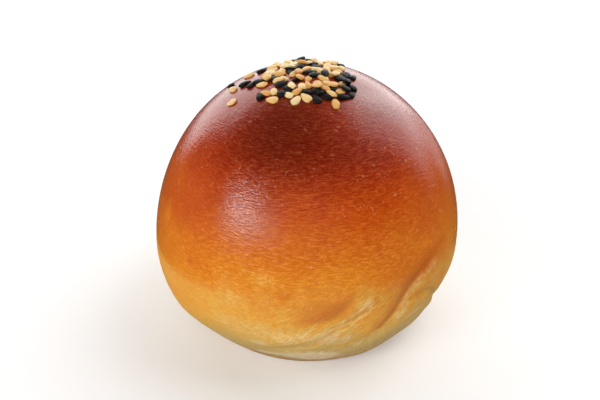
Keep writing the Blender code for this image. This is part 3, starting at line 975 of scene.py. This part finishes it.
@dataclass(frozen=True)
class FloorFinish:
    """Plain pale studio floor."""

    colour: Colour = (0.86, 0.86, 0.86, 1.0)
    glow: float = 0.20
    roughness: float = 0.9
    mirror: float = 0.1

    def material(self) -> bpy.types.Material:
        """Build the floor's material."""
        paint = Paint("studio_floor")
        return paint.finish(Base_Color=self.colour, Roughness=self.roughness,
                            Specular_IOR_Level=self.mirror,
                            Emission_Color=(1.0, 1.0, 1.0, 1.0), Emission_Strength=self.glow)


def centre_over_base(points: Array, low: Vector, high: Vector) -> Array:
    """Find the sideways shift that centres points on the box from low to high."""
    middle = (points.min(axis=0) + points.max(axis=0)) / 2
    return np.array([(low[0] + high[0]) / 2 - middle[0], (low[1] + high[1]) / 2 - middle[1], 0.0])


def add_object(name: str, mesh: bpy.types.Mesh, material: bpy.types.Material) -> bpy.types.Object:
    """Put a mesh in the scene as a smooth-shaded object.

    Args:
        name: The piece's name.
        mesh: Its mesh.
        material: Its finish.

    Returns:
        The object.
    """
    mesh.materials.append(material)
    mesh.shade_smooth()
    piece = bpy.data.objects.new(name, mesh)
    bpy.context.scene.collection.objects.link(piece)
    return piece


@dataclass
class Dough:
    """The baked dough: one closed skin from the crown to the flat base."""

    form: RollForm
    cells: int = 125
    belly_polar: float = math.radians(88.0)
    edge_polar: float = math.radians(148.0)
    crowding: float = 0.30
    crowded_side: float = math.radians(28.0)
    flow_side: float = math.radians(30.0)
    flow_slope: float = 0.72
    pull_start: Pair = (0.052, 0.066)
    pull_width: float = 0.85
    bake_lean: float = 0.0016
    lean_middle: float = 0.036
    lean_span: float = 0.009
    side_lean: float = 0.0040
    side_start: Pair = (0.6, 1.2)
    side_low: Pair = (0.048, 0.036)
    left_lean: float = 0.0036
    left_start: Pair = (-1.40, -1.25)
    left_end: Pair = (-0.50, -0.62)
    brushed_top: Pair = (0.0500, 0.0590)
    brushed_edge: Pair = (0.0620, 0.0604)
    calm_start: Pair = (0.50, 1.10)
    calm_end: Pair = (2.6, 2.0)
    patch_edge: float = 1.5
    shift: Array | None = None

    def _places(self, cage: bmesh.types.BMesh) -> tuple[Array, Array]:
        """Give every point of the cage its place on the skin.

        Args:
            cage: The divided cube.

        Returns:
            Azimuths and distances from the crown.
        """
        corners = np.array([vert.co[:] for vert in cage.verts])
        ball = np.tan(corners * math.pi / 4)
        ball /= np.linalg.norm(ball, axis=1)[:, None]
        polar = np.arccos(np.clip(ball[:, 2], -1.0, 1.0))
        azimuth = np.arctan2(ball[:, 0], -ball[:, 1])
        azimuth = azimuth - self.crowding * np.sin(polar) * np.sin(azimuth - self.crowded_side)
        total = self.form.profile()[0][-1]
        along = np.interp(polar, [0.0, self.belly_polar, self.edge_polar, math.pi],
                          [0.0, self.form.belly_along(), self.form.edge_along(), total])
        return azimuth, along

    def _fields(self, azimuth: Array, along: Array) -> dict[str, Array]:
        """Fields that carry the bake and the pull of the dough.

        Args:
            azimuth: Azimuths of the places.
            along: Distances from the crown.

        Returns:
            How "calm" the skin is; millimetres "along" it, "flow" across the drawn
            wrinkles and "bake" from the crown; the share of "pull"; and every mark.
        """
        turn = np.arctan2(np.sin(azimuth - self.flow_side), np.cos(azimuth - self.flow_side))
        beside = np.abs(azimuth)
        pull = smoothstep(*self.pull_start, along) * np.exp(-(turn / self.pull_width) ** 4)
        level = np.clip((along - self.lean_middle) / self.lean_span, -1.0, 1.0)
        lean = self.bake_lean * np.cos(azimuth) * level
        lean += (self.side_lean * smoothstep(*self.side_start, beside)
                 * smoothstep(*self.side_low, along))
        left = smoothstep(*self.left_start, azimuth) * smoothstep(*self.left_end, azimuth)
        brushed = smoothstep(*self.brushed_edge, along) * smoothstep(*self.brushed_top, along)
        lean -= self.left_lean * left * brushed
        calm = smoothstep(*self.calm_start, beside) * smoothstep(*self.calm_end, beside)
        fields = {"calm": calm, "along": along / MM,
                  "flow": (along + self.flow_slope * self.form.radius * turn) / MM,
                  "bake": (along + lean) / MM, "pull": pull}
        for mark in Mark:
            fields[mark.value] = self._marks(mark, azimuth, along)
        return fields

    def _marks(self, mark: Mark, azimuth: Array, along: Array) -> Array:
        """Strength of one sort of mark at every place.

        Args:
            mark: The sort.
            azimuth: Azimuths of the places.
            along: Distances from the crown.

        Returns:
            The sum of its patches and strokes, each fading outwards.
        """
        strength = np.zeros_like(along)
        for patch in PATCHES.get(mark, ()):
            away = patch.away(self.form.radius, azimuth, along)
            strength += patch.strength * np.exp(-away ** self.patch_edge)
        for stroke in STROKES.get(mark, ()):
            side, past_end, _ = self.form.from_line(stroke.line, azimuth, along)
            away = np.hypot(side, past_end) / stroke.half_width
            strength += stroke.strength * np.exp(-away ** 2)
        return strength

    def build(self) -> bpy.types.Object:
        """Model the crust and dress it.

        Returns:
            The crust.
        """
        cage = bmesh.new()
        bmesh.ops.create_cube(cage, size=2.0)
        bmesh.ops.subdivide_edges(cage, edges=cage.edges[:], cuts=self.cells - 1,
                                  use_grid_fill=True)
        azimuth, along = self._places(cage)
        points, crease = self.form.skin(azimuth, along)
        low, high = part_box(NODE)
        self.shift = centre_over_base(points, low, high)
        points = points + self.shift
        mesh = bpy.data.meshes.new("roll_crust")
        cage.to_mesh(mesh)
        cage.free()
        mesh.vertices.foreach_set("co", points.astype(np.float32).ravel())
        for name, values in {"crease": crease, **self._fields(azimuth, along)}.items():
            stored = mesh.attributes.new(name, "FLOAT", "POINT")
            stored.data.foreach_set("value", values.astype(np.float32))
        mesh.update()
        return add_object("roll_crust", mesh, CrustFinish().material())


class Rest(NamedTuple):
    """How a seed would lie: its pile height, plane and half thickness, and the cells under
    it with the plane's height in them and how far the seed fills them."""

    pile: float
    plane: Array
    half: float
    cells: tuple[Array, ...]
    ground: Array
    fill: Array


class SeedBed:
    """Height of what lies on the crown, kept as a square grid seen from above."""

    def __init__(self, form: RollForm, cap: "SeedCap") -> None:
        """Start with the bare crown.

        Args:
            form: The dough's form.
            cap: The seeds' sizes.
        """
        self.form = form
        self.cap = cap
        axis = np.arange(-cap.bed_half, cap.bed_half, cap.bed_step) + cap.bed_step / 2
        self.across, self.forward = np.meshgrid(axis, axis, indexing="ij")
        self.bare = form.crown_height(np.hypot(self.across, self.forward))
        self.top = self.bare.copy()

    def settle(self, x: float, y: float, yaw: float, scale: float) -> Rest:
        """Find how a seed dropped at a place comes to lie.

        Args:
            x: Place across.
            y: Place forward.
            yaw: Which way the seed points.
            scale: Its size against the usual one.

        Returns:
            How it lies.
        """
        cap = self.cap
        dx = self.across - x
        dy = self.forward - y
        lengthwise = (dx * math.cos(yaw) + dy * math.sin(yaw)) / (cap.length * scale / 2)
        sideways = (dy * math.cos(yaw) - dx * math.sin(yaw)) / (cap.width * scale / 2)
        reach = lengthwise ** 2 + sideways ** 2
        cells = np.nonzero(reach < cap.reach)
        fill = np.sqrt(1.0 - reach[cells])
        heights = self.top[cells]
        piled = heights - self.bare[cells]
        ground = np.stack([np.ones(len(fill)), dx[cells], dy[cells]], axis=1)
        plane = np.linalg.lstsq(ground * fill[:, None], piled * fill, rcond=None)[0]
        plane[1:] *= min(1.0, cap.steepest / max(math.hypot(plane[1], plane[2]), cap.bed_step))
        plane[1:] += self.form.crown_slope(x, y)
        half = cap.thickness * scale / 2 * math.hypot(1.0, plane[1], plane[2])
        contact = heights - ground[:, 1:] @ plane[1:] - half * (1.0 - fill)
        plane[0] = np.quantile(contact, cap.contact) - cap.sink
        return Rest(float(piled.mean()), plane, half, cells, ground @ plane, fill)

    def lay(self, x: float, y: float, yaw: float, scale: float, kind: SeedKind) -> Seed:
        """Put a seed down and raise the bed by it.

        Args:
            x: Place across.
            y: Place forward.
            yaw: Which way the seed points.
            scale: Its size against the usual one.
            kind: Toasted or black.

        Returns:
            The seed at rest.
        """
        _, plane, half, cells, ground, fill = self.settle(x, y, yaw, scale)
        self.top[cells] = np.maximum(self.top[cells], ground + half * (1.0 + fill))
        centre = Vector((x, y, plane[0] + half))
        normal = Vector((-plane[1], -plane[2], 1.0)).normalized()
        return Seed(centre, normal, yaw, scale, kind)


@dataclass(frozen=True)
class SeedCap:
    """The sesame on the crown, laid seed by seed and joined into one piece a sort."""

    form: RollForm
    length: float = 0.0029
    width: float = 0.0018
    thickness: float = 0.0010
    taper: float = 0.30
    lump: float = 0.16
    lump_scale: float = 1.3
    lump_starts: float = 90.0
    bend: float = 0.05
    keel: Pair = (0.85, 1.1)
    reach: float = 0.98
    sink: float = 0.00018
    contact: float = 0.80
    variation: float = 0.09
    scattered: int = 56
    tries: int = 16
    middle: Pair = (-0.0002, -0.0006)
    patch: float = 0.0092
    fringe: float = 0.0006
    random_start: int = 5
    bed_half: float = 0.0240
    bed_step: float = 0.00025
    steepest: float = 0.42
    dark_share: float = 0.12
    clump_share: float = 0.65
    segments: int = 22
    rings: int = 16

    def _kind_at(self, draw: random.Random, x: float, y: float) -> SeedKind:
        """Draw a seed's sort: mostly black in the clumps, mostly toasted elsewhere.

        Args:
            draw: The source of random numbers.
            x: Place across.
            y: Place forward.

        Returns:
            The sort.
        """
        share = self.dark_share
        for clump_x, clump_y, radius in DARK_CLUMPS:
            if math.hypot(x - clump_x, y - clump_y) < radius:
                share = self.clump_share
        return SeedKind.BLACK if draw.random() < share else SeedKind.TOASTED

    def lay(self) -> list[Seed]:
        """Lay the placed seeds, then scatter the rest over the emptiest spots of the patch.

        Returns:
            Every seed at rest.
        """
        draw = random.Random(self.random_start)
        bed = SeedBed(self.form, self)
        seeds = []
        for x, y, turn, dark in PLACED_SEEDS:
            scale = 1.0 + draw.uniform(-self.variation, self.variation)
            kind = SeedKind.BLACK if dark else SeedKind.TOASTED
            seeds.append(bed.lay(x * MM, y * MM, math.radians(turn), scale, kind))
        for _ in range(self.scattered):
            scale = 1.0 + draw.uniform(-self.variation, self.variation)
            best = None
            for _ in range(self.tries):
                away = self.patch * math.sqrt(draw.random()) + draw.gauss(0.0, self.fringe)
                turn = draw.uniform(0.0, 2 * math.pi)
                x = self.middle[0] + away * math.sin(turn)
                y = self.middle[1] + away * math.cos(turn)
                yaw = draw.uniform(0.0, 2 * math.pi)
                pile = bed.settle(x, y, yaw, scale).pile
                if best is None or pile < best[0]:
                    best = (pile, x, y, yaw)
            _, x, y, yaw = best
            seeds.append(bed.lay(x, y, yaw, scale, self._kind_at(draw, x, y)))
        return seeds

    def _add_seed(self, joined: bmesh.types.BMesh, seed: Seed, shift: Vector,
                  draw: random.Random) -> None:
        """Model one teardrop-shaped seed and add it to the joined mesh.

        Args:
            joined: The mesh of all seeds of the sort.
            seed: Where the seed lies.
            shift: How the roll is shifted on the base.
            draw: The source of random numbers for its shape and tint.
        """
        tint = joined.verts.layers.float["tint"]
        tip = joined.verts.layers.float["tip"]
        made = bmesh.ops.create_uvsphere(joined, u_segments=self.segments,
                                         v_segments=self.rings, radius=1.0)["verts"]
        shade = draw.random()
        bend = draw.uniform(-self.bend, self.bend)
        keel = draw.uniform(*self.keel)
        lumps = Vector((draw.uniform(0.0, self.lump_starts), 0.0, 0.0))
        for vert in made:
            vert.co *= 1.0 + self.lump * noise.noise(vert.co * self.lump_scale + lumps)
            lengthwise, across, up = vert.co.z, vert.co.x, -vert.co.y
            girth = 1.0 - self.taper * lengthwise
            vert[tint] = shade
            vert[tip] = lengthwise
            vert.co = Vector((lengthwise * self.length / 2,
                              (across * girth + bend * (1.0 - lengthwise ** 2)) * self.width / 2,
                              up * girth * keel * self.thickness / 2)) * seed.scale
        tilt = Vector((0.0, 0.0, 1.0)).rotation_difference(seed.normal).to_matrix().to_4x4()
        lean = Vector((self.form.sway_at(seed.centre.z), 0.0, 0.0))
        place = (Matrix.Translation(seed.centre + lean + shift) @ tilt
                 @ Matrix.Rotation(seed.yaw, 4, "Z"))
        bmesh.ops.transform(joined, matrix=place, verts=made)

    def build(self, seeds: list[Seed], kind: SeedKind, shift: Array) -> bpy.types.Object:
        """Model and dress all seeds of one sort.

        Args:
            seeds: Every seed on the crown.
            kind: The sort to build.
            shift: How the roll is shifted on the base.

        Returns:
            The joined seeds.
        """
        draw = random.Random(kind.value)
        joined = bmesh.new()
        joined.verts.layers.float.new("tint")
        joined.verts.layers.float.new("tip")
        for seed in seeds:
            if seed.kind is kind:
                self._add_seed(joined, seed, Vector(shift), draw)
        mesh = bpy.data.meshes.new(kind.value)
        joined.to_mesh(mesh)
        joined.free()
        return add_object(kind.value, mesh, SeedFinish(kind).material())


@dataclass(frozen=True)
class Lamp:
    """A soft rectangular light, placed round the roll."""

    name: str
    azimuth: float
    elevation: float
    distance: float
    width: float
    height: float
    radiance: float
    mirrored: bool = True
    lighting: bool = True

    def build(self, target: Vector) -> bpy.types.Object:
        """Hang the light and aim it.

        Args:
            target: What it lights.

        Returns:
            The light.
        """
        turn = math.radians(self.azimuth)
        rise = math.radians(self.elevation)
        away = Vector((math.sin(turn) * math.cos(rise), -math.cos(turn) * math.cos(rise),
                       math.sin(rise)))
        data = bpy.data.lights.new(self.name, "AREA")
        data.shape = "RECTANGLE"
        data.size = self.width
        data.size_y = self.height
        data.energy = self.radiance * math.pi * self.width * self.height
        lamp = bpy.data.objects.new(self.name, data)
        lamp.location = target + away * self.distance
        lamp.rotation_euler = away.to_track_quat("Z", "Y").to_euler()
        lamp.visible_camera = False
        lamp.visible_glossy = self.mirrored
        lamp.visible_diffuse = self.lighting
        bpy.context.scene.collection.objects.link(lamp)
        return lamp


@dataclass(frozen=True)
class Studio:
    """Floor, lights and camera round the roll.

    The camera turns by pixels of the photo, of which the focal length is focal_px.
    """

    floor_size: float = 6.0
    lens: float = 47.8
    elevation: float = 28.0
    distance: float = 0.200
    aim_height: float = 0.0324
    focal_px: float = 796.3
    left_px: float = 6.2
    down_px: float = 7.4
    near_clip: float = 0.01
    sky: float = 0.04

    def floor(self) -> bpy.types.Object:
        """Lay the floor.

        Returns:
            The floor.
        """
        grid = bmesh.new()
        bmesh.ops.create_grid(grid, x_segments=4, y_segments=4, size=self.floor_size / 2)
        mesh = bpy.data.meshes.new("studio_floor")
        grid.to_mesh(mesh)
        grid.free()
        floor = add_object("studio_floor", mesh, FloorFinish().material())
        floor.visible_glossy = False
        return floor

    def light(self) -> None:
        """Set the lights and the dim room round them."""
        target = Vector((0.0, 0.0, self.aim_height))
        lamps = (
            Lamp("window_left", -51.0, 20.5, 0.80, 0.34, 0.08, 18.0),
            Lamp("window_glow", -45.0, 15.0, 0.80, 0.70, 0.28, 1.8, lighting=False),
            Lamp("wall_behind", 189.0, 26.0, 0.62, 1.10, 0.62, 2.6, lighting=False),
            Lamp("wall_right", 127.5, 33.0, 0.62, 0.44, 0.62, 1.8, lighting=False),
            Lamp("wall_near", 136.0, 32.0, 0.62, 0.24, 0.46, 0.9, lighting=False),
            Lamp("wall_low", 144.0, 1.0, 0.62, 0.30, 0.26, 0.8, lighting=False),
            Lamp("back_fill", 180.0, 40.0, 1.00, 1.8, 1.0, 1.6, mirrored=False),
            Lamp("side_left", -96.0, 9.0, 0.90, 0.6, 0.22, 3.1, mirrored=False),
            Lamp("side_right", 104.0, 14.0, 0.90, 0.6, 0.30, 0.6, mirrored=False),
            Lamp("right_fill", 98.0, 54.0, 0.90, 0.7, 0.6, 2.7, mirrored=False),
            Lamp("front_fill", -12.0, 26.0, 1.10, 1.6, 0.8, 1.70, mirrored=False),
        )
        for lamp in lamps:
            lamp.build(target)
        world = bpy.data.worlds.new("studio")
        world.use_nodes = True
        room = world.node_tree.nodes["Background"]
        room.inputs["Color"].default_value = (1.0, 1.0, 1.0, 1.0)
        room.inputs["Strength"].default_value = self.sky
        bpy.context.scene.world = world

    def camera(self) -> bpy.types.Object:
        """Set the camera where the photograph was taken from.

        Returns:
            The camera.
        """
        data = bpy.data.cameras.new("camera")
        data.lens = self.lens
        data.clip_start = self.near_clip
        camera = bpy.data.objects.new("camera", data)
        rise = math.radians(self.elevation)
        back = Vector((0.0, -math.cos(rise), math.sin(rise)))
        camera.location = Vector((0.0, 0.0, self.aim_height)) + back * self.distance
        turned = (Matrix.Rotation(math.pi / 2 - rise, 4, "X")
                  @ Matrix.Rotation(self.left_px / self.focal_px, 4, "Y")
                  @ Matrix.Rotation(-(self.down_px / self.focal_px), 4, "X"))
        camera.rotation_euler = turned.to_euler()
        bpy.context.scene.collection.objects.link(camera)
        bpy.context.scene.camera = camera
        return camera


def attach(piece: bpy.types.Object) -> None:
    """Fix a piece to the roll's body in place of its solid.

    Args:
        piece: The piece.
    """
    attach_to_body(piece, BODY)
    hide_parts(NODE)
    LOG.info("%s: %d faces", piece.name, len(piece.data.polygons))


def main() -> None:
    """Build the roll and its studio."""
    logging.basicConfig(level=logging.INFO, format="%(name)s: %(message)s")
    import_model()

    form = RollForm()
    dough = Dough(form)
    attach(dough.build())
    cap = SeedCap(form)
    seeds = cap.lay()
    for kind in SeedKind:
        attach(cap.build(seeds, kind, dough.shift))

    studio = Studio()
    studio.floor()
    studio.light()
    studio.camera()
    bpy.context.scene.view_settings.view_transform = "Standard"


if __name__ == "__main__":
    main()
